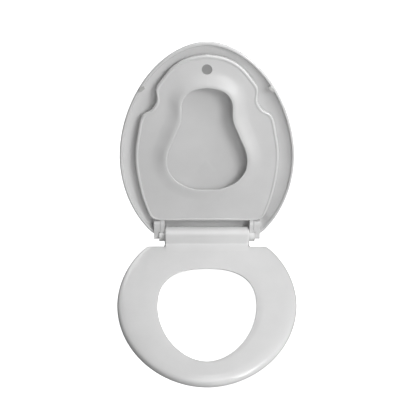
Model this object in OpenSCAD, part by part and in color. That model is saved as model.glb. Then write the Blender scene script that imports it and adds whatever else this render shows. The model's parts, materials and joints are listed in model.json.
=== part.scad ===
// Family toilet seat: adult seat ring, built-in child training seat and lid, all turning on one hinge axis.
// The origin is the centre of the two fixing holes on the bowl rim. The front is -Y and +Z is up.
// Lid and child seat are stored fully open. Each is drawn closed and then swung about the hinge axis.

/* [Adult seat] */
// Greatest width of the adult seat
seat_w = 368; // [360:1:376]
// Reach of the adult seat from the hinge axis to its front edge
seat_reach = 430; // [424:1:436]
// Thickness of the adult seat at its crown
seat_th = 19; // [17:0.5:21]
// Greatest width of the adult opening
hole_w = 200; // [196:1:204]
// Where the adult opening starts, measured forward from the hinge axis
hole_rear = 107; // [105:0.5:110]
// Where the adult opening ends, measured forward from the hinge axis
hole_front = 373.5; // [371:0.5:376]

/* [Child seat] */
// Thickness of the child seat at its crown
child_th = 12.5; // [11:0.5:13]
// How far the lip of the child opening dips below the flat underside, in front
child_lip = 7.5; // [5:0.5:8]
// The same at the rear, where the two openings come close
child_lip_rear = 2.5; // [2:0.1:3]
// Diameter of the round plug that covers the child seat's magnet
plug_d = 20.6; // [18:0.2:22]
// Distance of the magnets from the hinge axis
magnet_reach = 384.6; // [380:0.2:388]

/* [Lid] */
// Greatest width of the lid
lid_w = 372; // [368:1:380]
// Reach of the lid from the hinge axis to its front edge
lid_reach = 440; // [436:1:446]
// Wall thickness of the lid
lid_wall = 3; // [2.5:0.1:3.5]
// Angle that lid, child seat and adult seat open from closed
open_angle = 98; // [92:1:102]

/* [Hinge] */
// Height of the hinge axis above the bowl rim
axis_z = 30; // [29:0.5:32]
// How far the hinge axis lies in front of the fixing holes
axis_fwd = 24; // [23:1:27]
// Radius of the hinge barrel on the adult seat
barrel_r = 22; // [21:0.5:22.5]
// Half the length of the hinge barrel
barrel_half = 91.5; // [91:0.5:92]
// Radius of the child seat's knuckles
knuckle_r = 10.9; // [9:0.1:12]
// Radius of the hinge pin and of the damper shafts
pin_r = 3; // [2.5:0.1:3]
// Radial gap of every running fit
run_gap = 0.06; // [0.03:0.01:0.09]
// Outer radius of the damper housings
damper_r = 9; // [8.5:0.1:9]

/* [Fixings] */
// Distance between the two fixing holes
fixing_pitch = 140; // [139:1:141]
// Radius of the plain shank of the fixing studs
stud_r = 4; // [3:0.5:4]
// Length of stud below the bowl rim
stud_len = 60; // [54:1:66]
// Thickness of the bowl rim that is clamped
rim_th = 18; // [16:1:20]
// Thickness of the rubber gaskets under the posts
gasket_th = 2; // [1.5:0.5:2.5]

/* [Hidden] */
$fn = 64;

// Hinge stack, measured outward from the middle along X
post_x = fixing_pitch / 2;
post_w = 14;
slot_w = post_w + 1.2;
ear_x = [94.5, 107];
lug_x = [107.5, 118.5];
// Post and slot
eye_r = 12.5;
eye_gap = 0.7;
foot_r = 17;
foot_th = 6;
foot_n = -axis_z + gasket_th;
thread_r = stud_r - 0.4;
// Dampers, measured outward from the middle along X
damper_x = [33, 77];
seat_damper_x = [33, 61.5];
rotor_r = 6.3;
flat_half = 2.2;
cap_th = 3;
seal_r = 1.1;
// Seat heights, measured up from the hinge axis
crown_n = -1;
seat_skin = 4;
seat_rear = 26.5;
base_n = crown_n - seat_th;
// The neck leaves the barrel at neck_tilt above level and runs straight down to a deck, with a fillet between
neck_tilt = 28;
neck_fillet = 3;
deck_n = crown_n - 1;
deck_t = 38.5;
// Sloping flank on each side of the neck: how far it reaches out at its foot, and its rear and front ends
flank_w = 5.5;
flank_t = [14, 30];
// Front and rear bumpers under the adult seat, as [right-hand X, forward, turn]
bumper_at = [[91, 350, 38], [142, 120, -16]];
underside_n = 0.3;
lid_rim_n = 1;
// Widths of the adult seat's fall into the opening and of its bull-nose, in front and at the rear
slope_w = [12, 34];
nose_w = [13, 8];
// The lid's rear wall starts at lid_rear. A bevel takes its lower edge to a thin tip that clears the neck.
lid_rear = 23.2;
bevel = [2.7, 5.3];
tip_n = -0.4;
tip_w = 0.7;
// The lid's ceiling: a step at the outline, then rises as [height, distance] near the edge and further in
edge_step = 2;
edge_rise = [11.2, 12];
inner_rise = [7.5, 90];
rear_lift = 4;
stations = 96;
spline_steps = 3;

// ---- shape helpers ----

function spow(v, e) = sign(v) * pow(abs(v), e);
function smooth_max(a, b, k) = (a + b + sqrt((a - b) * (a - b) + k * k)) / 2;
function ramp(a, lo, hi) = let (u = min(max((a - lo) / (hi - lo), 0), 1)) u * u * (3 - 2 * u);
function mix(v, u) = v[0] + (v[1] - v[0]) * u;
function last(v) = v[len(v) - 1];

// One point of an egg outline as [x, forward]. Angle 0 points forward; p_front and p_rear square it off.
function egg(a, half, mid, front, rear, p_front, p_rear) =
    let (ahead = cos(a) > 0, e = 2 / (ahead ? p_front : p_rear))
    [half * spow(sin(a), e), mid + (ahead ? front - mid : mid - rear) * spow(cos(a), e)];

// Catmull-Rom curve through the points of v, with steps pieces in each span.
function spline(v, steps) = [for (i = [0 : len(v) - 2], k = [0 : steps - 1])
    let (a = v[max(i - 1, 0)], b = v[i], c = v[i + 1], d = v[min(i + 2, len(v) - 1)], u = k / steps)
    (2 * b + (c - a) * u + (2 * a - 5 * b + 4 * c - d) * u * u + (3 * b - a - 3 * c + d) * u * u * u) / 2];

// A full outline from its right half, which runs from the front point to the rear point.
function both_sides(v) = let (s = spline(v, spline_steps))
    concat(s, [last(v)], [for (i = [len(s) - 1 : -1 : 1]) [-s[i][0], s[i][1]]]);

// Solid between closed loops of equal length. A ring joins its last loop to its first.
module skin(loops, ring = false) {
    m = len(loops);
    n = len(loops[0]);
    ends = ring ? [] : [loops[0], last(loops)];
    middles = [for (e = ends) [for (k = [0 : 2]) (e[0][k] + e[floor(n / 2)][k]) / 2]];
    sides = [for (i = [0 : ring ? m - 1 : m - 2], j = [0 : n - 1])
        let (i2 = (i + 1) % m, j2 = (j + 1) % n)
        each [[i * n + j, i2 * n + j2, i2 * n + j], [i * n + j, i * n + j2, i2 * n + j2]]];
    caps = ring ? [] : [for (j = [0 : n - 1])
        let (j2 = (j + 1) % n)
        each [[m * n, j2, j], [m * n + 1, (m - 1) * n + j, (m - 1) * n + j2]]];
    polyhedron(concat([for (l = loops) each l], middles), concat(sides, caps));
}

// ---- placing helpers ----

// Moves a shape from hinge coordinates, where the axis is X, to the part's frame.
module at_hinge() { translate([0, -axis_fwd, axis_z]) children(); }
module opened() { at_hinge() rotate([-open_angle, 0, 0]) children(); }
module both() { children(); mirror([1, 0, 0]) children(); }

// A rod along X from x[0] to x[1]
module rod(r, x) { translate([x[0], 0, 0]) rotate([0, 90, 0]) cylinder(r = r, h = x[1] - x[0]); }

// A bore with two flats that takes the keyed end of a damper shaft
module keyed_bore(x) {
    intersection() {
        rod(pin_r + 0.02, x);
        translate([x[0], -5, -flat_half - 0.02]) cube([x[1] - x[0], 10, 2 * flat_half + 0.04]);
    }
}

// A side profile, drawn as [forward, up], extruded from x[0] to x[1]
module side_plate(x) {
    translate([x[0], 0, 0])
    rotate([0, 90, 0]) rotate([0, 0, 180]) mirror([0, 1, 0]) rotate([0, 0, -90])
    linear_extrude(x[1] - x[0]) children();
}

// ---- outlines, as [x, forward] ----

function seat_outer(a) = let (q = egg(a, seat_w / 2, 190, seat_reach, -48, 1.95, 2))
    [q[0], smooth_max(q[1], seat_rear, 5)];
function seat_inner(a) = egg(a, hole_w / 2, 215, hole_front, hole_rear, 1.87, 2.5);
function lid_outline(a) = let (q = egg(a, lid_w / 2, 182, lid_reach, -51, 1.87, 2))
    [q[0], smooth_max(q[1], 4, 5)];

child_outer = both_sides([[0, 414], [36, 407.5], [66, 391.5], [88, 367.5], [103, 345.5], [102.5, 327],
    [104.5, 314], [115, 298], [131, 288.5], [139, 274], [145, 246], [151, 213], [152.5, 180], [149.5, 143],
    [141.5, 98], [129, 57], [118.5, 43.5], [95, 40], [50, 40], [0, 40]]);
child_inner = both_sides([[0, 348], [20, 345], [37.5, 337], [47.5, 325], [51.8, 312], [52.4, 299],
    [52.6, 288], [53.6, 278], [56.8, 267], [62, 255.5], [70.5, 235], [80.8, 211], [85, 186], [81.5, 160],
    [65, 137], [43, 123.5], [30, 119], [22, 117.7], [11, 117.1], [0, 117]]);

// ---- adult seat ----

// Section of the seat as [distance from the opening, height] for a band of width w, hollow below.
// The outer edge is a bull-nose nose wide; slope is how far the surface takes to fall into the opening.
function seat_section(w, slope, nose) = [
    [0, crown_n - 4], [0.6, crown_n - 5.6], [3, crown_n - 6], [0.5 * (w - nose), crown_n - seat_skin - 0.6],
    [w - nose - 8, crown_n - seat_skin - 1], [w - nose - 5, crown_n - seat_skin - 5], [w - nose - 4, base_n],
    [w - nose, base_n], [w - 0.5 * nose, base_n + 1.2], [w - 0.13 * nose, base_n + 4.5], [w, crown_n - 10],
    [w - 1, crown_n - 6.8], [w - 3.6, crown_n - 4], [w - 8, crown_n - 2], [w - 15, crown_n - 0.7],
    [w / 2, crown_n], [slope, crown_n - 0.5], [0.5 * slope, crown_n - 1.4], [2, crown_n - 2.6]];

module seat_ring() {
    skin([for (i = [0 : stations - 1])
        let (a = 360 * i / stations, p = seat_inner(a), q = seat_outer(a), w = norm(q - p))
        let (slope = mix(slope_w, (1 - cos(a)) / 2), nose = mix(nose_w, ramp(180 - abs(a - 180), 120, 150)))
        [for (s = seat_section(w, slope, nose))
            let (c = p + (q - p) * s[0] / w) [c[0], -c[1], s[1]]]], true);
}

// Side profile of the neck that joins the barrel to the ring
module neck_profile() {
    start = barrel_r * [cos(neck_tilt), sin(neck_tilt)];
    foot_t = start[0] + (start[1] - deck_n) * tan(neck_tilt);
    center = [foot_t + neck_fillet * tan(45 - neck_tilt / 2), deck_n + neck_fillet];
    polygon(concat([[8, 0], start],
        [for (i = [0 : 6]) let (a = 180 + neck_tilt + (90 - neck_tilt) * i / 6)
            center + neck_fillet * [cos(a), sin(a)]],
        [[deck_t, deck_n], [deck_t, base_n + 0.4], [8, base_n + 0.4]]));
}

// Flank of the neck on the right
module neck_flank() {
    translate([barrel_half, -flank_t[0], 0]) rotate([90, 0, 0]) linear_extrude(flank_t[1] - flank_t[0])
        polygon([[-6, base_n + 0.6], [flank_w, base_n + 0.6], [-0.2, -5.2], [-6, -5.2]]);
}

// Room in the barrel for a post's blade as the seat swings up
module post_slot() {
    translate([post_x - slot_w / 2, 0, 0]) {
        rod(eye_r + eye_gap, [0, slot_w]);
        side_plate([0, slot_w])
            polygon([[-0.4, -10], [-5.9, -27.5], [-40, -27.5], [-40, 30], [-21.6, 29.6], [0.3, 12.7]]);
    }
}

module adult_seat() {
    color("whitesmoke")
    bumper_bars(2, base_n, crown_n - seat_skin + 1);
    color("whitesmoke")
    at_hinge() difference() {
        union() {
            seat_ring();
            rod(barrel_r, [-barrel_half + 1.5, barrel_half - 1.5]);
            both() translate([barrel_half - 1.5, 0, 0]) rotate([0, 90, 0])
                cylinder(r1 = barrel_r, r2 = barrel_r - 1.5, h = 1.5);
            side_plate([-barrel_half, barrel_half]) neck_profile();
            both() neck_flank();
        }
        both() post_slot();
        rod(damper_r + run_gap, [damper_x[0] - cap_th - 1, post_x]);
        rod(damper_r + 0.02, [-post_x, -seat_damper_x[0] + cap_th + 1]);
        rod(pin_r + run_gap, [post_x, barrel_half + 1]);
        rod(pin_r + run_gap, [-barrel_half - 1, -post_x]);
    }
}

// The four places of the bumpers under the seat, each a rounded bar grown by g
module bumper_bars(g, low, high) {
    at_hinge() both() for (p = bumper_at)
        translate([p[0], -p[1], low]) rotate([0, 0, p[2]]) linear_extrude(high - low) {
            square([22, 13 + 2 * g], center = true);
            for (s = [-11, 11]) translate([s, 0]) circle(6.5 + g);
        }
}

module seat_bumpers() {
    color("gainsboro") bumper_bars(0, -axis_z, base_n);
}

// ---- child seat ----

// Section of the child seat as [distance from the opening, height]: lip, flat, edge bead, wall, crown
function child_section(w, lip) = let (u = underside_n, top = underside_n + child_th) [
    [0, u - lip * 0.67], [2.5, u - lip], [9, u - lip * 0.86], [20, u - lip * 0.38],
    [34, u - 0.6], [w - 10, u], [w - 5, u - 0.8], [w - 1.3, u], [w, u + 2.4], [w, top - 5.5],
    [w - 2, top - 2.6], [w - 8, top - 0.9], [0.55 * w, top], [0.26 * w, top - 2.5], [7, top - 9],
    [1.5, u - lip * 0.16], [0, u - lip * 0.4]];
// The lip deepens from the rear of the opening to the front
function lip_at(t) = mix([child_lip_rear, child_lip], ramp(t, 150, 215));

module child_body() {
    skin([for (i = [0 : len(child_inner) - 1])
        let (p = child_inner[i], q = child_outer[i], w = norm(q - p))
        [for (s = child_section(w, lip_at(p[1])))
            let (c = p + (q - p) * s[0] / w) [c[0], -c[1], s[1]]]], true);
}

module child_seat() {
    color("whitesmoke")
    opened() difference() {
        union() {
            child_body();
            both() {
                rod(knuckle_r, ear_x);
                side_plate(ear_x)
                    polygon([[-4, 9], [0, -3], [29, -3], [37, 0.8], [60, 2], [60, 9], [36, 11]]);
            }
        }
        both() rod(5.02, [ear_x[0] - 1, ear_x[1] + 1]);
        translate([0, -magnet_reach, -2]) cylinder(r = plug_d / 2 + 0.1, h = 8);
        translate([0, -magnet_reach, 0]) cylinder(r = 9.1, h = 11);
    }
}

module child_bushes() {
    color("lightgray")
    opened() both() difference() {
        rod(5, ear_x);
        rod(pin_r + run_gap, [ear_x[0] - 1, ear_x[1] + 1]);
    }
}

module spacer_washers() {
    color("lightgray")
    opened() both() difference() {
        rod(6.5, [barrel_half + 0.4, ear_x[0]]);
        rod(pin_r + run_gap, [barrel_half, ear_x[0] + 1]);
    }
}

module child_magnet() {
    color("dimgray")
    opened() translate([0, -magnet_reach, 6]) cylinder(r = 9, h = 5);
}

module magnet_plug() {
    color("gray")
    opened() translate([0, -magnet_reach, underside_n + 0.6]) cylinder(r = plug_d / 2, h = 5);
}

// ---- lid ----

// Height of the lid's ceiling above its rim at a distance d in from the outline. It rises faster by steep.
function ceiling(d, steep) = edge_step + edge_rise[0] * (1 - exp(-d * steep / edge_rise[1]))
    + inner_rise[0] * (1 - exp(-d / inner_rise[1]));
function rear_rise(a) = 1 + 9 * ramp(180 - abs(a - 180), 128, 155);

// One loop of the lid, a share r of the way out from its middle; skin_t lifts the outer surface
function lid_loop(r, skin_t) = [for (i = [0 : stations - 1])
    let (a = 360 * (stations - i) / stations, q = lid_outline(a), c = [0, 182], p = c + (q - c) * r,
         d = norm(q - p), lift = rear_lift * (1 - ramp(p[1], 10, 120)) * ramp(d, 0, 20))
    [p[0], -p[1], lid_rim_n + ceiling(d, rear_rise(a)) + lift + skin_t]];
function rim_loop(r, n) = [for (i = [0 : stations - 1])
    let (a = 360 * (stations - i) / stations, c = [0, 182], p = c + (lid_outline(a) - c) * r)
    [p[0], -p[1], n]];

lid_rings = [0.998, 0.985, 0.96, 0.92, 0.86, 0.78, 0.6, 0.38, 0.12];

module lid_shell() {
    skin(concat(
        [for (r = [0.12, 0.4, 0.65, 0.8, 0.88, 0.93, 0.968]) lid_loop(r, 0)],
        [rim_loop(0.974, lid_rim_n + 0.6), rim_loop(0.985, lid_rim_n), rim_loop(0.996, lid_rim_n + 0.8),
         rim_loop(1, lid_rim_n + 3)],
        [for (r = lid_rings) lid_loop(r, lid_wall)]));
}

// Everything under a surface inside the lid's wall, used to trim what joins it from inside
module lid_envelope() {
    skin(concat([rim_loop(0.12, -8), rim_loop(0.99, -8)],
        [for (i = [1 : len(lid_rings) - 1]) lid_loop(lid_rings[i], lid_wall - 0.6)]));
}

// Lug: an eye round the pin and a web that runs forward into the lid
module lug_eye() {
    side_plate(lug_x) {
        circle(5.5);
        polygon([[-5, -2], [3, -4.6], [8, -3], [8, 8], [4, 10], [-4.7, 3]]);
    }
}
module lug_web() {
    side_plate(lug_x) polygon([[4, -4.3], [8, -3], [29, -3], [35, 0], [38, 4], [38, 40], [4, 40]]);
}

// Side profile of the lid's rear wall
module rear_wall() {
    tip_t = lid_rear + bevel[0];
    polygon([[lid_rear, tip_n + bevel[1]], [tip_t, tip_n], [tip_t + tip_w, tip_n],
        [tip_t + tip_w, 42], [lid_rear, 42]]);
}

module lid() {
    color("whitesmoke")
    opened() difference() {
        union() {
            difference() {
                lid_shell();
                translate([0.1 - lug_x[0], 0.1 - lid_rear, -20]) cube([2 * lug_x[0] - 0.2, 60, 80]);
            }
            intersection() {
                lid_envelope();
                union() {
                    side_plate([-lug_x[0] - 1, lug_x[0] + 1]) rear_wall();
                    both() lug_web();
                }
            }
            both() lug_eye();
            translate([0, -magnet_reach, 13.8]) cylinder(r = 13, h = 6.5);
        }
        both() side_plate([ear_x[0] - 0.8, ear_x[1] + 0.3]) translate([0, -20]) square([34, 32]);
        rod(pin_r + run_gap, [-lug_x[1] + 2.5, -lug_x[0] + 1]);
        keyed_bore([lug_x[0] - 1, lug_x[1] - 2.5]);
        translate([0, -magnet_reach, 13]) cylinder(r = 9.02, h = 5);
        lid_bumper_shape();
    }
}

module lid_magnet() {
    color("dimgray")
    opened() translate([0, -magnet_reach, 14]) cylinder(r = 9, h = 4);
}

module lid_bumper_shape() {
    both() translate([131.5, -344, -2.2]) rotate([0, 0, 38])
        linear_extrude(4.6) {
            square([8, 6], center = true);
            for (s = [-4, 4]) translate([s, 0]) circle(3);
        }
}

module lid_bumpers() {
    color("gainsboro")
    opened() lid_bumper_shape();
}

// ---- hinge posts and fixings ----

module post() {
    at_hinge() difference() {
        union() {
            translate([post_x - post_w / 2, 0, 0]) {
                rod(eye_r, [0, post_w]);
                side_plate([0, post_w])
                    polygon([[2, -3], [-1.5, -11], [-7, foot_n + 2], [-25, foot_n + 2], [-11.5, -2]]);
            }
            translate([post_x, axis_fwd, foot_n]) cylinder(r = foot_r, h = foot_th);
        }
        children();
        translate([post_x, axis_fwd, foot_n - 1]) cylinder(r = 6.02, h = 5.02);
    }
}

module hinge_post_right() {
    color("white") post() rod(damper_r + 0.02, [post_x - post_w, post_x + post_w]);
}

module hinge_post_left() {
    color("white") mirror([1, 0, 0]) post() {
        rod(pin_r + 0.02, [post_x, post_x + post_w]);
        keyed_bore([post_x - post_w, post_x + 0.1]);
    }
}

module post_gaskets() {
    color("dimgray") both() difference() {
        translate([post_x, 0, 0]) cylinder(r = foot_r, h = gasket_th);
        translate([post_x, 0, -1]) cylinder(r = 4.6, h = gasket_th + 2);
    }
}

// Stud: disc head held in the post, plain shank through the rim, thread below it
module fixing_studs() {
    color("silver") both() translate([post_x, 0, 0]) {
        translate([0, 0, gasket_th]) cylinder(r = 6, h = 4);
        cylinder(r = stud_r + 0.5, h = gasket_th);
        translate([0, 0, -rim_th]) cylinder(r = stud_r, h = rim_th);
        translate([0, 0, -stud_len]) cylinder(r = thread_r, h = stud_len - rim_th);
    }
}

module rubber_cones() {
    color("dimgray") both() translate([post_x, 0, -rim_th - 12]) difference() {
        cylinder(r1 = 12, r2 = 8, h = 11.5);
        translate([0, 0, -1]) cylinder(r = thread_r, h = 14);
    }
}

module fixing_washers() {
    color("silver") both() translate([post_x, 0, -rim_th - 14]) difference() {
        cylinder(r = 12, h = 2);
        translate([0, 0, -1]) cylinder(r = thread_r, h = 4);
    }
}

module wing_nut() {
    translate([post_x, 0, -rim_th - 28]) difference() {
        union() {
            cylinder(r1 = 8, r2 = 10.5, h = 13.7);
            for (s = [-1, 1]) translate([s * 14, 0, -3]) rotate([90, 0, 0])
                translate([0, 0, -2]) linear_extrude(4) {
                    translate([0, 7]) circle(6.5);
                    translate([-s * 4, 7]) square([11, 11], center = true);
                }
        }
        translate([0, 0, -12]) cylinder(r = thread_r, h = 40);
    }
}

module wing_nut_right() {
    color("white") wing_nut();
}

module wing_nut_left() {
    color("white") mirror([1, 0, 0]) wing_nut();
}

module hinge_pin_left() {
    color("silver") at_hinge() rod(pin_r, [-lug_x[1] + 3, -post_x - 0.2]);
}

// ---- dampers, drawn on the +X side ----

module damper_housing(x) {
    difference() {
        rod(damper_r, x);
        rod(rotor_r + 0.2, [x[0] - 1, x[1] - 8]);
        rod(seal_r + pin_r + run_gap + 1.2, [x[1] - 9, x[1] - 5]);
        rod(pin_r + run_gap, [x[1] - 9, x[1] + 1]);
    }
}

module damper_cap(x) {
    rod(damper_r, [x[0] - cap_th, x[0] - 0.02]);
    rod(rotor_r, [x[0] - 1, x[0] + 2]);
}

// Rotor: vane body, and a shaft out to tip with flats over its last stretch
module damper_rotor(x, tip, flat_len) {
    difference() {
        union() {
            rod(3.6, [x[0] + 3, x[1] - 9.5]);
            rod(pin_r, [x[1] - 10, tip]);
            intersection() {
                rod(rotor_r, [x[0] + 4, x[1] - 10]);
                translate([0, -8, -1]) cube([100, 16, 2]);
            }
        }
        for (s = [0, 1]) mirror([0, 0, s])
            translate([tip - flat_len, -5, flat_half]) cube([flat_len + 1, 10, 5]);
    }
}

module damper_seal(x) {
    at = x[1] - 7;
    translate([at, 0, 0]) rotate([0, 90, 0]) rotate_extrude()
        translate([pin_r + seal_r + run_gap, 0]) circle(seal_r, $fn = 24);
}

module lid_damper_housing() {
    color("slategray") at_hinge() damper_housing(damper_x);
}

module lid_damper_cap() {
    color("darkslategray") at_hinge() damper_cap(damper_x);
}

module lid_damper_rotor() {
    color("ivory") opened() damper_rotor(damper_x, lug_x[1] - 3, 8);
}

module lid_damper_seal() {
    color("black") at_hinge() damper_seal(damper_x);
}

module seat_damper_housing() {
    color("slategray") at_hinge() mirror([1, 0, 0]) damper_housing(seat_damper_x);
}

module seat_damper_cap() {
    color("darkslategray") at_hinge() mirror([1, 0, 0]) damper_cap(seat_damper_x);
}

module seat_damper_rotor() {
    color("ivory") at_hinge() mirror([1, 0, 0]) damper_rotor(seat_damper_x, post_x - 0.2, 7.2);
}

module seat_damper_seal() {
    color("black") at_hinge() mirror([1, 0, 0]) damper_seal(seat_damper_x);
}

hinge_post_left();
hinge_post_right();
post_gaskets();
fixing_studs();
rubber_cones();
fixing_washers();
wing_nut_left();
wing_nut_right();
hinge_pin_left();
lid_damper_housing();
lid_damper_cap();
lid_damper_rotor();
lid_damper_seal();
seat_damper_housing();
seat_damper_cap();
seat_damper_rotor();
seat_damper_seal();
adult_seat();
seat_bumpers();
child_seat();
child_bushes();
spacer_washers();
child_magnet();
magnet_plug();
lid();
lid_magnet();
lid_bumpers();
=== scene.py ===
import json
import math

import bmesh
import bpy
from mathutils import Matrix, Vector


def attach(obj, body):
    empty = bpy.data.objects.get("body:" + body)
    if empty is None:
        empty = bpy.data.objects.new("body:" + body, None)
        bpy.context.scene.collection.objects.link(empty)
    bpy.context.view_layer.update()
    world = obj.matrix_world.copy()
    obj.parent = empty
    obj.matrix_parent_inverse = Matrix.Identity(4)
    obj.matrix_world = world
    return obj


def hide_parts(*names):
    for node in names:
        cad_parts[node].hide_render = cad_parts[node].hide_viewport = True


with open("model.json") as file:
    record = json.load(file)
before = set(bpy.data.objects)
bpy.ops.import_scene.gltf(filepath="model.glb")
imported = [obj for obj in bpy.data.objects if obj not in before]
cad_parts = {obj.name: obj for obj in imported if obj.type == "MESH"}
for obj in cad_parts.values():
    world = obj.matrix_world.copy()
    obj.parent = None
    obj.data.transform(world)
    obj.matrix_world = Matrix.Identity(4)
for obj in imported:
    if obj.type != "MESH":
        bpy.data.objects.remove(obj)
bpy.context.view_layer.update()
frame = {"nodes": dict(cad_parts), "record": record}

# ---------------------------------------------------------------- frame and sizes, in millimetres

OPEN = math.radians(98)
AXIS_Y, AXIS_Z = -24.0, 30.0
COS, SIN = math.cos(OPEN), math.sin(OPEN)


def down(x, t, n):
    """A point of the lying adult seat: t forward of the hinge axis, n above it."""
    return (x / 1000, (AXIS_Y - t) / 1000, (AXIS_Z + n) / 1000)


def up(x, t, n):
    """The same point on a shell that stands fully open."""
    return (x / 1000, (AXIS_Y - t * COS + n * SIN) / 1000, (AXIS_Z + t * SIN + n * COS) / 1000)


def spow(v, e):
    """A power that keeps the sign."""
    return math.copysign(abs(v) ** e, v)


def ramp(a, lo, hi):
    """Smooth step from 0 at lo to 1 at hi."""
    u = min(max((a - lo) / (hi - lo), 0.0), 1.0)
    return u * u * (3 - 2 * u)


def smooth_max(a, b, k):
    """The larger of two values, with the corner rounded over about k."""
    return (a + b + math.sqrt((a - b) ** 2 + k * k)) / 2


def egg(a, half, widest, front, rear, p_front, p_rear):
    """Point of an egg outline at angle a from the front. Two superellipses meet at widest."""
    ahead = math.cos(a) > 0
    e = 2 / (p_front if ahead else p_rear)
    reach = (front - widest) if ahead else (widest - rear)
    return half * spow(math.sin(a), e), widest + reach * spow(math.cos(a), e)


def catmull_rom(p, q, r, s, u):
    bend = 2 * p - 5 * q + 4 * r - s
    twist = 3 * q - p - 3 * r + s
    return (2 * q + (r - p) * u + bend * u * u + twist * u ** 3) / 2


def spline(points, steps, closed=False):
    """Catmull-Rom curve through points of any dimension."""
    out = []
    n = len(points)
    spans = n if closed else n - 1
    for i in range(spans):
        if closed:
            a, b, c, d = (points[(i + k) % n] for k in (-1, 0, 1, 2))
        else:
            a, b, c, d = points[max(i - 1, 0)], points[i], points[i + 1], points[min(i + 2, n - 1)]
        for k in range(steps):
            u = k / steps
            out.append(tuple(catmull_rom(p, q, r, s, u) for p, q, r, s in zip(a, b, c, d)))
    if not closed:
        out.append(tuple(points[-1]))
    return out


# ---------------------------------------------------------------- mesh helpers

# Edges that turn by more than this many degrees stay sharp
SHARP_EDGE = 38


def new_object(name, verts, faces):
    mesh = bpy.data.meshes.new(name)
    mesh.from_pydata(verts, [], faces)
    mesh.validate()
    obj = bpy.data.objects.new(name, mesh)
    bpy.context.scene.collection.objects.link(obj)
    bm = bmesh.new()
    bm.from_mesh(mesh)
    bmesh.ops.recalc_face_normals(bm, faces=bm.faces)
    bm.to_mesh(mesh)
    bm.free()
    return obj


def grid_faces(rows, cols, ring_rows, ring_cols):
    """Quads of a grid of points. Either direction can close on itself."""
    faces = []
    for i in range(rows if ring_rows else rows - 1):
        for j in range(cols if ring_cols else cols - 1):
            i2, j2 = (i + 1) % rows, (j + 1) % cols
            faces.append((i * cols + j, i2 * cols + j, i2 * cols + j2, i * cols + j2))
    return faces


def apply_modifiers(obj):
    deps = bpy.context.evaluated_depsgraph_get()
    mesh = bpy.data.meshes.new_from_object(obj.evaluated_get(deps))
    obj.modifiers.clear()
    obj.data = mesh


def shade(obj):
    """Smooth shading that keeps hard edges and lets flat faces stay flat."""
    obj.data.shade_smooth()
    obj.data.set_sharp_from_angle(angle=math.radians(SHARP_EDGE))
    mod = obj.modifiers.new("flat_faces", "WEIGHTED_NORMAL")
    mod.keep_sharp = True
    mod.weight = 80
    apply_modifiers(obj)


def boolean(obj, other, kind):
    mod = obj.modifiers.new("cut", "BOOLEAN")
    mod.operation = kind
    mod.solver = "EXACT"
    mod.object = other
    apply_modifiers(obj)
    bpy.data.objects.remove(other, do_unlink=True)


def prism(name, first, second):
    """A closed piece between two matching outlines."""
    n = len(first)
    faces = [(j, (j + 1) % n, n + (j + 1) % n, n + j) for j in range(n)]
    faces += [tuple(range(n)), tuple(range(2 * n - 1, n - 1, -1))]
    return new_object(name, first + second, faces)


def lathe(name, place, profile, segments=72):
    """A piece turned about the hinge axis. profile is [(x, radius)], closed on the axis at both ends."""
    verts = []
    m = len(profile)
    for k in range(segments):
        a = 2 * math.pi * k / segments
        verts += [place(x, r * math.cos(a), r * math.sin(a)) for x, r in profile]
    faces = grid_faces(segments, m, True, False)
    verts += [place(profile[0][0], 0, 0), place(profile[-1][0], 0, 0)]
    for k in range(segments):
        k2 = (k + 1) % segments
        faces.append((k * m, k2 * m, segments * m))
        faces.append((k * m + m - 1, segments * m + 1, k2 * m + m - 1))
    return new_object(name, verts, faces)


def disc(name, at, radius, low, high, segments=72):
    """A round slug across an open shell, at distance at from the hinge, from height low to height high."""
    turns = [2 * math.pi * k / segments for k in range(segments)]
    ring = [(radius * math.cos(a), at + radius * math.sin(a)) for a in turns]
    return prism(name, [up(x, t, low) for x, t in ring], [up(x, t, high) for x, t in ring])


def plate(name, place, outline, x0, x1, edge=0.0):
    """An outline in (t, n) carried from x0 to x1, with edges rounded by edge."""
    obj = prism(name, [place(x0, t, n) for t, n in outline], [place(x1, t, n) for t, n in outline])
    if edge > 0:
        mod = obj.modifiers.new("edge", "BEVEL")
        mod.width = edge / 1000
        mod.segments = 3
        mod.limit_method = "ANGLE"
        mod.angle_limit = math.radians(40)
        apply_modifiers(obj)
    return obj


def box(t0, t1, n0, n1):
    return [(t0, n0), (t1, n0), (t1, n1), (t0, n1)]


def span(side, inner, outer):
    """The x range of a piece on one side."""
    return sorted((side * inner, side * outer))


def arc(cx, cy, r, a0, a1, steps):
    return [(cx + r * math.cos(math.radians(a0 + (a1 - a0) * i / steps)),
             cy + r * math.sin(math.radians(a0 + (a1 - a0) * i / steps))) for i in range(steps + 1)]


# ---------------------------------------------------------------- outlines

SEAT_OUTER = {"half": 184, "widest": 190, "front": 430, "rear": -48, "p_front": 1.95, "p_rear": 2}
SEAT_INNER = {"half": 100, "widest": 215, "front": 373.5, "rear": 107, "p_front": 1.87, "p_rear": 2.5}
LID_OUTER = {"half": 186, "widest": 182, "front": 440, "rear": -51, "p_front": 1.87, "p_rear": 2}
# Each egg is cut across at its rear, with rounded corners
SEAT_REAR, LID_REAR, REAR_CORNER = 26.5, 4, 5


def seat_outer(a):
    x, t = egg(a, **SEAT_OUTER)
    return x, smooth_max(t, SEAT_REAR, REAR_CORNER)


def seat_inner(a):
    return egg(a, **SEAT_INNER)


def lid_outline(a):
    x, t = egg(a, **LID_OUTER)
    return x, smooth_max(t, LID_REAR, REAR_CORNER)


def off_front(a):
    """Degrees away from the front, the same on both sides."""
    return 180 - abs(math.degrees(a) - 180)


def across(p, q, section, place):
    """A section (distance from p towards q, height) set between two outline points."""
    w = math.dist(p, q)
    return [place(p[0] + (q[0] - p[0]) * s / w, p[1] + (q[1] - p[1]) * s / w, n) for s, n in section]


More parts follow.
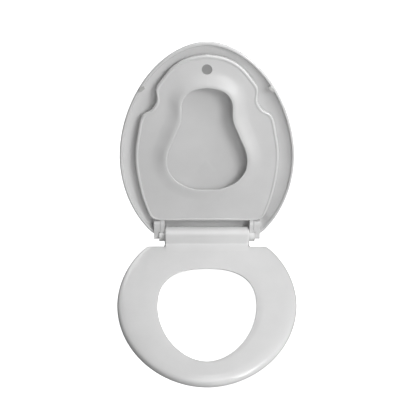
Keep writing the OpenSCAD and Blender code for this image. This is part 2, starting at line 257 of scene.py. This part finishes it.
def loop_mesh(name, rows):
    """A ring of closed sections."""
    return new_object(name, [v for r in rows for v in r], grid_faces(len(rows), len(rows[0]), True, True))


def both_sides(half, steps):
    """A smooth closed outline from its right half, which runs from the front to the rear."""
    s = spline(half, steps)
    return s + [(-x, t) for x, t in reversed(s[1:-1])]


# Right halves of the child seat's outlines, (x, t), from the front. The hole is a keyhole
CHILD_OUTER = [(0, 414), (36, 407.5), (66, 391.5), (88, 367.5), (103, 345.5), (102.5, 327), (104.5, 314),
               (115, 298), (131, 288.5), (139, 274), (145, 246), (151, 213), (152.5, 180), (149.5, 143),
               (141.5, 98), (129, 57), (118.5, 43.5), (95, 40), (50, 40), (0, 40)]
CHILD_INNER = [(0, 348), (20, 345), (37.5, 337), (47.5, 325), (51.8, 312), (52.4, 299), (52.6, 288),
               (53.6, 278), (56.8, 267), (62, 255.5), (70.5, 235), (80.8, 211), (85, 186), (81.5, 160),
               (65, 137), (43, 123.5), (30, 119), (22, 117.7), (11, 117.1), (0, 117)]

# ---------------------------------------------------------------- adult seat

CROWN, BASE = -1.0, -20.0
BARREL_R, BARREL_HALF = 22.0, 91.5
COLLAR_R, COLLAR_X = 18.5, 94.1
# The neck's slope leans NECK_TILT off upright and ends in a deck that falls a little towards the ring
NECK_TILT, NECK_FILLET = 28, 3.0
DECK_N, DECK_T, DECK_FALL = CROWN - 0.4, 50.0, 0.5
FLANK_FOOT, FLANK_TOP, FLANK_T = 97, 91.3, (14, 30)
# Bosses for the bumpers: x, t and turn of each on the right
BUMPER_AT = ((91, 350, 38), (142, 120, -16))
BUMPER_R, BUMPER_HALF, BOSS_WALL = 6.5, 11, 2
# Room for the posts' blades and eyes, and the bores for dampers and pins: x range and radius
POST_X, EYE_R = (62.4, 77.6), 13.2
POST_SLOT = [(-0.4, -10), (-5.9, -27.5), (-40, -27.5), (-40, 30), (-21.6, 29.6), (0.3, 12.7)]
LID_DAMPER_BORE, SEAT_DAMPER_BORE = (29, 70, 9.06), (-70, -29, 9.02)
PIN_BORES = ((69, 95, 3.06), (-95, -69, 3.06))
COLLAR_BORES = ((91.3, 95.2, 7.3), (-95.2, -91.3, 7.3))


def seat_section(w, slope, nose, dip):
    """Section of the ring from the opening (0) to the outer edge (w), hollow below. dip lowers the top."""
    wall = w - nose
    under = [(0, CROWN - 4), (0.5, CROWN - 5.4), (2.6, CROWN - 6), (8, CROWN - 5.6),
             (0.5 * wall, CROWN - 4.6), (wall - 11, CROWN - 4.8), (wall - 7, CROWN - 6),
             (wall - 5, CROWN - 10)]
    foot = [(wall - 4, BASE + 2.5), (wall - 3.3, BASE + 0.3), (wall, BASE),
            (w - 0.5 * nose, BASE + 1.2), (w - 0.13 * nose, BASE + 4.5)]
    edge = [(w, CROWN - 12), (w - 0.6, CROWN - 8.2), (w - 2.4, CROWN - 5.3), (w - 4.8, CROWN - 3.4)]
    top = [(w - 8.6, CROWN - 2 - dip), (w - 16, CROWN - 0.7 - dip),
           (0.5 * (w + slope), CROWN - 0.8 * dip), (slope, CROWN - 0.4), (0.5 * slope, CROWN - 1.3),
           (2.4, CROWN - 2.4), (0.8, CROWN - 3)]
    return spline(under + foot + edge + top, 4, closed=True)


def adult_ring():
    stations = 288
    rows = []
    for i in range(stations):
        a = 2 * math.pi * i / stations
        p, q = seat_inner(a), seat_outer(a)
        rear = ramp(off_front(a), 120, 150)
        slope = 12 + 11 * (1 - math.cos(a))
        rows.append(across(p, q, seat_section(math.dist(p, q), slope, 13 - 5 * rear, rear), down))
    return loop_mesh("ring", rows)


def neck_line():
    """Side view of barrel and neck, (t, n), from the deck's edge over the barrel and round to the foot."""
    lean = math.radians(NECK_TILT)
    start = (BARREL_R * math.cos(lean), BARREL_R * math.sin(lean))
    foot = start[0] + (start[1] - DECK_N) * math.tan(lean)
    fillet_at = foot + NECK_FILLET * math.tan(math.radians(45) - lean / 2)
    line = [(DECK_T + 2, DECK_N - 4), (DECK_T + 0.4, DECK_N - 1.2), (DECK_T, DECK_N - DECK_FALL)]
    line += [(0.5 * (DECK_T + fillet_at), DECK_N - 0.4 * DECK_FALL)]
    line += arc(fillet_at, DECK_N + NECK_FILLET, NECK_FILLET, 270, 180 + NECK_TILT, 8)
    line += [(0.5 * (start[0] + line[-1][0]), 0.5 * (start[1] + line[-1][1]))]
    line += arc(0, 0, BARREL_R, NECK_TILT, 290, 48)
    return line + [(12, BASE + 0.4), (30, BASE + 0.4), (DECK_T - 6, BASE + 0.6), (DECK_T - 3, BASE + 4)]


def neck():
    """Barrel and neck as one sideways loft. Its ends shrink towards mid, which rounds their edges."""
    mid_t, mid_n = 6, -4
    ends = [(1, 0.8), (0.9985, 0.4), (0.996, 0.12), (0.992, 0)]
    stations = ends + [(1 - k / 12, 0) for k in range(1, 12)]
    stations = stations + [(0, 0)] + [(-u, s) for u, s in reversed(stations)]
    line = neck_line()
    rows = []
    for u, shrink in stations:
        row = []
        for t, n in line:
            dt, dn = t - mid_t, n - mid_n
            k = 1 - shrink / math.hypot(dt, dn)
            row.append(down(u * BARREL_HALF, mid_t + dt * k, mid_n + dn * k))
        rows.append(row)
    cols = len(line)
    verts = [v for r in rows for v in r]
    faces = grid_faces(len(rows), cols, False, True)
    faces.append(tuple(range(cols)))
    faces.append(tuple(range(len(verts) - 1, len(verts) - cols - 1, -1)))
    return new_object("neck", verts, faces)


def flank(side):
    """Sloping flank beside the neck's foot."""
    low, high, inside = BASE + 0.7, -5.2, BARREL_HALF - 6
    outline = [(inside, low), (FLANK_FOOT, low), (FLANK_TOP, high), (inside, high)]
    return prism("flank", *([down(side * x, t, n) for x, n in outline] for t in FLANK_T))


def boss(x0, t0, turn):
    """A rounded bar standing on the seat's underside, round a bumper."""
    r, c, s = BUMPER_R + BOSS_WALL, math.cos(math.radians(turn)), math.sin(math.radians(turn))
    outline = arc(BUMPER_HALF, 0, r, -90, 90, 12) + arc(-BUMPER_HALF, 0, r, 90, 270, 12)
    ring = [(x0 + u * c - v * s, t0 - u * s - v * c) for u, v in outline]
    return prism("boss", *([down(x, t, n) for x, t in ring] for n in (BASE, CROWN - 3)))


def make_adult_seat():
    seat = adult_ring()
    boolean(seat, neck(), "UNION")
    for side in (-1, 1):
        boolean(seat, flank(side), "UNION")
        collar = [(BARREL_HALF - 3.5, COLLAR_R), (COLLAR_X - 0.5, COLLAR_R), (COLLAR_X, COLLAR_R - 0.5)]
        boolean(seat, lathe("collar", down, [(side * x, r) for x, r in collar]), "UNION")
    for x, t, turn in BUMPER_AT:
        for side in (-1, 1):
            boolean(seat, boss(side * x, t, side * turn), "UNION")
    for side in (-1, 1):
        x0, x1 = span(side, *POST_X)
        boolean(seat, plate("slot", down, POST_SLOT, x0, x1), "DIFFERENCE")
        boolean(seat, lathe("eye", down, [(x0, EYE_R), (x1, EYE_R)], 64), "DIFFERENCE")
    for x0, x1, r in (LID_DAMPER_BORE, SEAT_DAMPER_BORE, *PIN_BORES, *COLLAR_BORES):
        boolean(seat, lathe("bore", down, [(x0, r), (x1, r)], 48), "DIFFERENCE")
    seat.name = "adult_seat_shell"
    shade(seat)
    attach(seat, "adult")
    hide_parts("adult_seat")
    return seat


# ---------------------------------------------------------------- child seat

# The magnets of child seat and lid meet at this distance from the hinge
MAGNET_AT = 384.6
UNDER, CHILD_TH = 0.3, 12.5
LIP_REAR, LIP_FRONT = 2.5, 7.5
# Hinge ears and knuckles, x range on the right
EAR_X, KNUCKLE_X = (94.5, 104), (94.5, 107)
EAR = [(-4, 9), (-3, 0), (0, -2.8), (3, -3), (29, -3), (33, -1.5), (37, 0.8), (60, 2), (60, 9), (36, 11)]
KNUCKLE_R, CHILD_BORE_R = 10.9, 5.02
PLUG_R, PLUG_DEPTH = 10.45, 5.5


def child_section(w, lip):
    """Closed section from the hole outwards. A lip hangs below the hole's edge, shallower at the rear."""
    u, top = UNDER, UNDER + CHILD_TH
    lip_pts = [(0, u - lip * 0.7), (0.5, u - lip * 0.94), (2.2, u - lip), (6, u - lip * 0.97),
               (10, u - lip * 0.83), (15, u - lip * 0.6), (21, u - lip * 0.35), (28, u - lip * 0.14)]
    under = [(36, u - 0.2), (0.62 * w + 10, u), (w - 8, u), (w - 6.2, u - 0.15), (w - 5, u - 0.75),
             (w - 3.4, u - 0.9), (w - 1.8, u - 0.6), (w - 0.6, u + 0.4), (w, u + 2.2)]
    over = [(w, top - 5.5), (w - 0.7, top - 3.8), (w - 2.6, top - 2.2), (w - 8, top - 0.9),
            (0.55 * w, top), (0.3 * w, top - 2), (9, top - 7.6), (4, u + 0.6)]
    hole = [(1.5, u - lip * 0.19), (0.2, u - lip * 0.37)]
    return spline(lip_pts + under + over + hole, 3, closed=True)


def child_body():
    rows = []
    for p, q in zip(both_sides(CHILD_INNER, 12), both_sides(CHILD_OUTER, 12)):
        lip = LIP_REAR + (LIP_FRONT - LIP_REAR) * ramp(p[1], 150, 215)
        rows.append(across(p, q, child_section(math.dist(p, q), lip), up))
    return loop_mesh("body", rows)


def make_child_seat():
    seat = child_body()
    for side in (-1, 1):
        boolean(seat, plate("ear", up, EAR, *span(side, *EAR_X), 0.9), "UNION")
        x0, x1 = span(side, *KNUCKLE_X)
        rim = [(0, 0.8), (0.3, 0.3), (0.9, 0)]
        ends = [(x0 + x, KNUCKLE_R - r) for x, r in rim] + [(x1 - x, KNUCKLE_R - r) for x, r in reversed(rim)]
        boolean(seat, lathe("knuckle", up, ends, 64), "UNION")
        boolean(seat, lathe("bore", up, [(x, CHILD_BORE_R) for x in (x0 - 1, x1 + 1)], 48), "DIFFERENCE")
    boolean(seat, disc("recess", MAGNET_AT, PLUG_R, -3, PLUG_DEPTH), "DIFFERENCE")
    seat.name = "child_seat_shell"
    shade(seat)
    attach(seat, "child")
    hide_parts("child_seat")
    return seat


# ---------------------------------------------------------------- lid

LID_RIM, LID_WALL, LID_MID = 1.0, 3.0, 182
# Share of the way from LID_MID to the outline: the inside, the rim's bead with its height, the outside
LID_INSIDE = [0.06, 0.12, 0.2, 0.3, 0.4, 0.5, 0.58, 0.65, 0.72, 0.77, 0.81, 0.845, 0.875, 0.9, 0.92, 0.936,
              0.948, 0.958, 0.966]
LID_BEAD = [(0.971, 1.9), (0.9735, 0.8), (0.977, 0.25), (0.984, 0.0), (0.991, 0.3), (0.9965, 1.1),
            (0.9995, 2.3), (1.0, 3.4)]
LID_OUTSIDE = [0.9992, 0.997, 0.993, 0.987, 0.979, 0.968, 0.955, 0.938, 0.918, 0.893, 0.86, 0.82, 0.77, 0.71,
               0.64, 0.56, 0.47, 0.37, 0.27, 0.17, 0.08]
# Cuts for the adult seat's barrel, and for the child seat's knuckles and ears
REAR_EDGE, NOTCH_HALF, BARREL_ROOM_R = 14.4, 92, 22.6
KNUCKLE_ROOM_X, KNUCKLE_ROOM_R = (-106.9, 107.1), 19.6
FRONT_ROOM_X, FRONT_ROOM = (-107.3, 107.2), box(-30, 24.5, -30, 11.7)
EAR_ROOM_X, EAR_ROOM = (93.7, 107.4), box(-9, 34, -20, 12)
MAGNET_BOSS_R, MAGNET_R = 13, 9.02
LUG_X, SHOULDER_X = (107.5, 118.4), (104.4, 108.5)
LUG_TIP_R = 5.5
LUG = [(3, -4.6), (8, -3), (29, -3), (35, 0), (38, 4), (38, 19.6), (22, 18.6), (10, 14), (4, 9)]
SHOULDER = [(12.6, -2.6), (14, -3.2), (29, -3.2), (35, -0.2), (38, 4), (38, 19), (22, 18), (12.6, 14)]
PIN_BORE_X, PIN_BORE_R = (106.5, 116), 3.02


def ceiling(d, steep):
    """Depth of the inside at distance d from the outline: a quick rise at the edge, then a slow one."""
    return 2 + 11.2 * (1 - math.exp(-(d * steep / 19) ** 1.5)) + 7.5 * (1 - math.exp(-d / 90))


def lid_spot(a, r):
    x, t = lid_outline(a)
    return x * r, LID_MID + (t - LID_MID) * r


def lid_point(a, r, skin):
    """Point of the lid's inside, or of its outside when skin is the wall."""
    x, t = lid_spot(a, r)
    d = math.dist(lid_outline(a), (x, t))
    steep = 1 + 9 * ramp(off_front(a), 128, 155)
    lift = 4 * (1 - ramp(t, 10, 120)) * ramp(d, 0, 20)
    return x, t, LID_RIM + ceiling(d, steep) + lift + skin


def lid_shell():
    stations = 288
    turns = [2 * math.pi * i / stations for i in range(stations)]
    rows = [[up(*lid_point(a, r, 0)) for a in turns] for r in LID_INSIDE]
    rows += [[up(*lid_spot(a, r), LID_RIM + n) for a in turns] for r, n in LID_BEAD]
    rows += [[up(*lid_point(a, r, LID_WALL)) for a in turns] for r in LID_OUTSIDE]
    verts = [v for row in rows for v in row]
    faces = grid_faces(len(rows), stations, False, True)
    verts += [up(*lid_point(0, 0, 0)), up(*lid_point(0, 0, LID_WALL))]
    last = (len(rows) - 1) * stations
    for i in range(stations):
        i2 = (i + 1) % stations
        faces.append((i2, i, len(verts) - 2))
        faces.append((last + i, last + i2, len(verts) - 1))
    return new_object("lid_shell", verts, faces)


def make_lid():
    lid = lid_shell()
    cuts = [plate("notch", up, box(-60, REAR_EDGE, -30, 70), -NOTCH_HALF, NOTCH_HALF)]
    cuts += [lathe("barrel_room", up, [(x, BARREL_ROOM_R) for x in (-NOTCH_HALF, NOTCH_HALF)])]
    cuts += [lathe("knuckle_room", up, [(x, KNUCKLE_ROOM_R) for x in KNUCKLE_ROOM_X])]
    cuts += [plate("front_room", up, FRONT_ROOM, *FRONT_ROOM_X)]
    cuts += [plate("ear_room", up, EAR_ROOM, *span(side, *EAR_ROOM_X), 0.01) for side in (-1, 1)]
    for cut in cuts:
        boolean(lid, cut, "DIFFERENCE")
    boolean(lid, disc("boss", MAGNET_AT, MAGNET_BOSS_R, 13.8, 19), "UNION")
    boolean(lid, disc("pocket", MAGNET_AT, MAGNET_R, 13, 18), "DIFFERENCE")
    lug = arc(0, 0, LUG_TIP_R, 130, 262, 10) + LUG
    for side in (-1, 1):
        boolean(lid, plate("lug", up, lug, *span(side, *LUG_X), 0.8), "UNION")
        boolean(lid, plate("shoulder", up, SHOULDER, *span(side, *SHOULDER_X), 0.5), "UNION")
        bore = [(side * x, PIN_BORE_R) for x in PIN_BORE_X]
        boolean(lid, lathe("bore", up, bore, 32), "DIFFERENCE")
    lid.name = "lid_outer_shell"
    shade(lid)
    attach(lid, "lid")
    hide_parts("lid")
    return lid


# ---------------------------------------------------------------- materials


def plastic(name, color, rough, grain=900.0, bump=0.02, coat=0.4, vary=0.02, ior=1.5):
    """Moulded plastic: fine surface grain, faint colour and gloss variation."""
    mat = bpy.data.materials.new(name)
    mat.use_nodes = True
    nt = mat.node_tree
    bsdf = nt.nodes["Principled BSDF"]
    bsdf.inputs["IOR"].default_value = ior
    bsdf.inputs["Coat Weight"].default_value = coat
    bsdf.inputs["Coat Roughness"].default_value = 0.06
    tex = nt.nodes.new("ShaderNodeTexCoord")
    cloud = nt.nodes.new("ShaderNodeTexNoise")
    cloud.inputs["Scale"].default_value = 14.0
    cloud.inputs["Detail"].default_value = 4.0
    nt.links.new(tex.outputs["Object"], cloud.inputs["Vector"])
    ramp_node = nt.nodes.new("ShaderNodeValToRGB")
    lo = [c * (1 - vary) for c in color]
    hi = [min(c * (1 + vary), 1.0) for c in color]
    ramp_node.color_ramp.elements[0].position = 0.35
    ramp_node.color_ramp.elements[0].color = (*lo, 1)
    ramp_node.color_ramp.elements[1].position = 0.65
    ramp_node.color_ramp.elements[1].color = (*hi, 1)
    nt.links.new(cloud.outputs["Fac"], ramp_node.inputs["Fac"])
    nt.links.new(ramp_node.outputs["Color"], bsdf.inputs["Base Color"])
    gloss = nt.nodes.new("ShaderNodeMapRange")
    gloss.inputs["To Min"].default_value = rough * 0.85
    gloss.inputs["To Max"].default_value = rough * 1.2
    nt.links.new(cloud.outputs["Fac"], gloss.inputs["Value"])
    nt.links.new(gloss.outputs["Result"], bsdf.inputs["Roughness"])
    fine = nt.nodes.new("ShaderNodeTexNoise")
    fine.inputs["Scale"].default_value = grain
    fine.inputs["Detail"].default_value = 2.0
    nt.links.new(tex.outputs["Object"], fine.inputs["Vector"])
    bumper = nt.nodes.new("ShaderNodeBump")
    bumper.inputs["Strength"].default_value = bump
    bumper.inputs["Distance"].default_value = 0.0005
    nt.links.new(fine.outputs["Fac"], bumper.inputs["Height"])
    nt.links.new(bumper.outputs["Normal"], bsdf.inputs["Normal"])
    return mat


def metal(name, color, rough):
    mat = plastic(name, color, rough, grain=600.0, bump=0.05, coat=0.0, vary=0.05)
    mat.node_tree.nodes["Principled BSDF"].inputs["Metallic"].default_value = 1.0
    return mat


WHITE = (0.80, 0.80, 0.80)
MATS = {
    "seat_white": plastic("seat_white", WHITE, 0.2),
    "child_white": plastic("child_white", WHITE, 0.22),
    "lid_white": plastic("lid_white", WHITE, 0.2),
    "post_plastic": plastic("post_plastic", (0.78, 0.78, 0.78), 0.28),
    "nut_plastic": plastic("nut_plastic", (0.75, 0.75, 0.74), 0.45, bump=0.08, coat=0.0),
    "bush_plastic": plastic("bush_plastic", (0.7, 0.7, 0.69), 0.4, coat=0.0),
    "damper_plastic": plastic("damper_plastic", (0.1, 0.11, 0.13), 0.45, bump=0.08, coat=0.0, vary=0.06),
    "rotor_plastic": plastic("rotor_plastic", (0.72, 0.68, 0.58), 0.4, bump=0.05, coat=0.0),
    "plug_grey": plastic("plug_grey", (0.36, 0.36, 0.36), 0.3),
    "magnet": metal("magnet", (0.6, 0.6, 0.6), 0.25),
    "steel": metal("steel", (0.62, 0.62, 0.62), 0.32),
    "grey_rubber": plastic("grey_rubber", (0.12, 0.12, 0.12), 0.6, grain=400, bump=0.15, coat=0.0, vary=0.08),
    "pad_rubber": plastic("pad_rubber", (0.62, 0.62, 0.61), 0.5, grain=400, bump=0.1, coat=0.0, vary=0.04),
    "black_rubber": plastic("black_rubber", (0.02, 0.02, 0.02), 0.5, grain=400, bump=0.1, coat=0.0, vary=0.1),
}
SLOT_OF = {s["node"]: s["material_slot"] for s in frame["record"]["subparts"]}


def paint(obj, mat):
    obj.data.materials.clear()
    obj.data.materials.append(mat)


adult = make_adult_seat()
paint(adult, MATS["seat_white"])
child = make_child_seat()
paint(child, MATS["child_white"])
lid = make_lid()
paint(lid, MATS["lid_white"])

# The pieces that stay as they were designed only get their material
for node, obj in frame["nodes"].items():
    if node in ("adult_seat", "child_seat", "lid"):
        continue
    for s in obj.material_slots:
        s.material = MATS[SLOT_OF[node]]

# ---------------------------------------------------------------- floor, light, camera


FLOOR_HALF, FLOOR_Z = 12.0, -0.0605


def make_floor():
    """A white ground that shadows fall on but that sends no light back to the seat."""
    corners = [(x, y, FLOOR_Z) for x, y in box(-FLOOR_HALF, FLOOR_HALF, -FLOOR_HALF, FLOOR_HALF)]
    floor = new_object("floor", corners, [(0, 1, 2, 3)])
    mat = bpy.data.materials.new("floor_white")
    mat.use_nodes = True
    bsdf = mat.node_tree.nodes["Principled BSDF"]
    bsdf.inputs["Base Color"].default_value = (0.9, 0.9, 0.9, 1)
    bsdf.inputs["Roughness"].default_value = 0.9
    bsdf.inputs["Emission Color"].default_value = (1, 1, 1, 1)
    bsdf.inputs["Emission Strength"].default_value = 0.9
    paint(floor, mat)
    floor.visible_diffuse = False
    floor.visible_glossy = False


def area_light(name, at, target, size, power):
    data = bpy.data.lights.new(name, "AREA")
    data.shape = "RECTANGLE"
    data.size, data.size_y = size
    data.energy = power
    obj = bpy.data.objects.new(name, data)
    bpy.context.scene.collection.objects.link(obj)
    obj.location = at
    obj.rotation_euler = (Vector(target) - Vector(at)).to_track_quat("-Z", "Y").to_euler()


def studio_world():
    """Grey surroundings, brighter towards BRIGHT_WAY."""
    world = bpy.data.worlds.new("studio")
    world.use_nodes = True
    nt = world.node_tree
    coord = nt.nodes.new("ShaderNodeTexCoord")
    toward = nt.nodes.new("ShaderNodeVectorMath")
    toward.operation = "DOT_PRODUCT"
    toward.inputs[1].default_value = BRIGHT_WAY
    shift = nt.nodes.new("ShaderNodeMapRange")
    shift.inputs["From Min"].default_value = -1.0
    fade = nt.nodes.new("ShaderNodeValToRGB")
    fade.color_ramp.elements[0].color = (DIM, DIM, DIM, 1)
    fade.color_ramp.elements[1].color = (BRIGHT, BRIGHT, BRIGHT, 1)
    fade.color_ramp.elements.new(0.5).color = (MIDDLE, MIDDLE, MIDDLE, 1)
    nt.links.new(coord.outputs["Generated"], toward.inputs[0])
    nt.links.new(toward.outputs["Value"], shift.inputs["Value"])
    nt.links.new(shift.outputs["Result"], fade.inputs["Fac"])
    nt.links.new(fade.outputs["Color"], nt.nodes["Background"].inputs["Color"])
    nt.nodes["Background"].inputs["Strength"].default_value = 1.0
    return world


# Name, place, target, size and watts of each light
LIGHTS = [
    ("key", (0.75, -0.7, 0.95), (0, -0.1, 0.1), (0.4, 0.4), 5.5),
    ("right", (0.9, -0.2, 1.6), (0, -0.1, 0.0), (0.8, 0.8), 5),
    ("front", (0.9, -2.2, 0.9), (0, 0, 0.2), (1.4, 0.8), 6.5),
    ("back", (-0.6, 2.4, 1.2), (0, 0, 0.2), (1.6, 1.2), 12),
    ("top", (0.2, -0.3, 2.6), (0, -0.2, 0.0), (1.8, 1.4), 17.5),
]
BRIGHT_WAY = (0.65, -0.4, -0.65)
DIM, MIDDLE, BRIGHT = 0.14, 0.15, 0.53

make_floor()
for light in LIGHTS:
    area_light(*light)
bpy.context.scene.world = studio_world()
bpy.context.scene.view_settings.view_transform = "Standard"

# The camera looks at the hinge from in front and above. The shifts set the seat's place in the picture
HINGE = Vector((0, AXIS_Y / 1000, AXIS_Z / 1000))
CAMERA_FROM_HINGE = Vector((0, -1.379, 1.0774))
cam_data = bpy.data.cameras.new("camera")
cam = bpy.data.objects.new("camera", cam_data)
bpy.context.scene.collection.objects.link(cam)
cam.location = HINGE + CAMERA_FROM_HINGE
cam.rotation_euler = (HINGE - cam.location).to_track_quat("-Z", "Y").to_euler()
cam_data.sensor_width = 36
cam_data.lens = 67.46
cam_data.shift_x = 0.0025
cam_data.shift_y = 0.068
bpy.context.scene.camera = cam
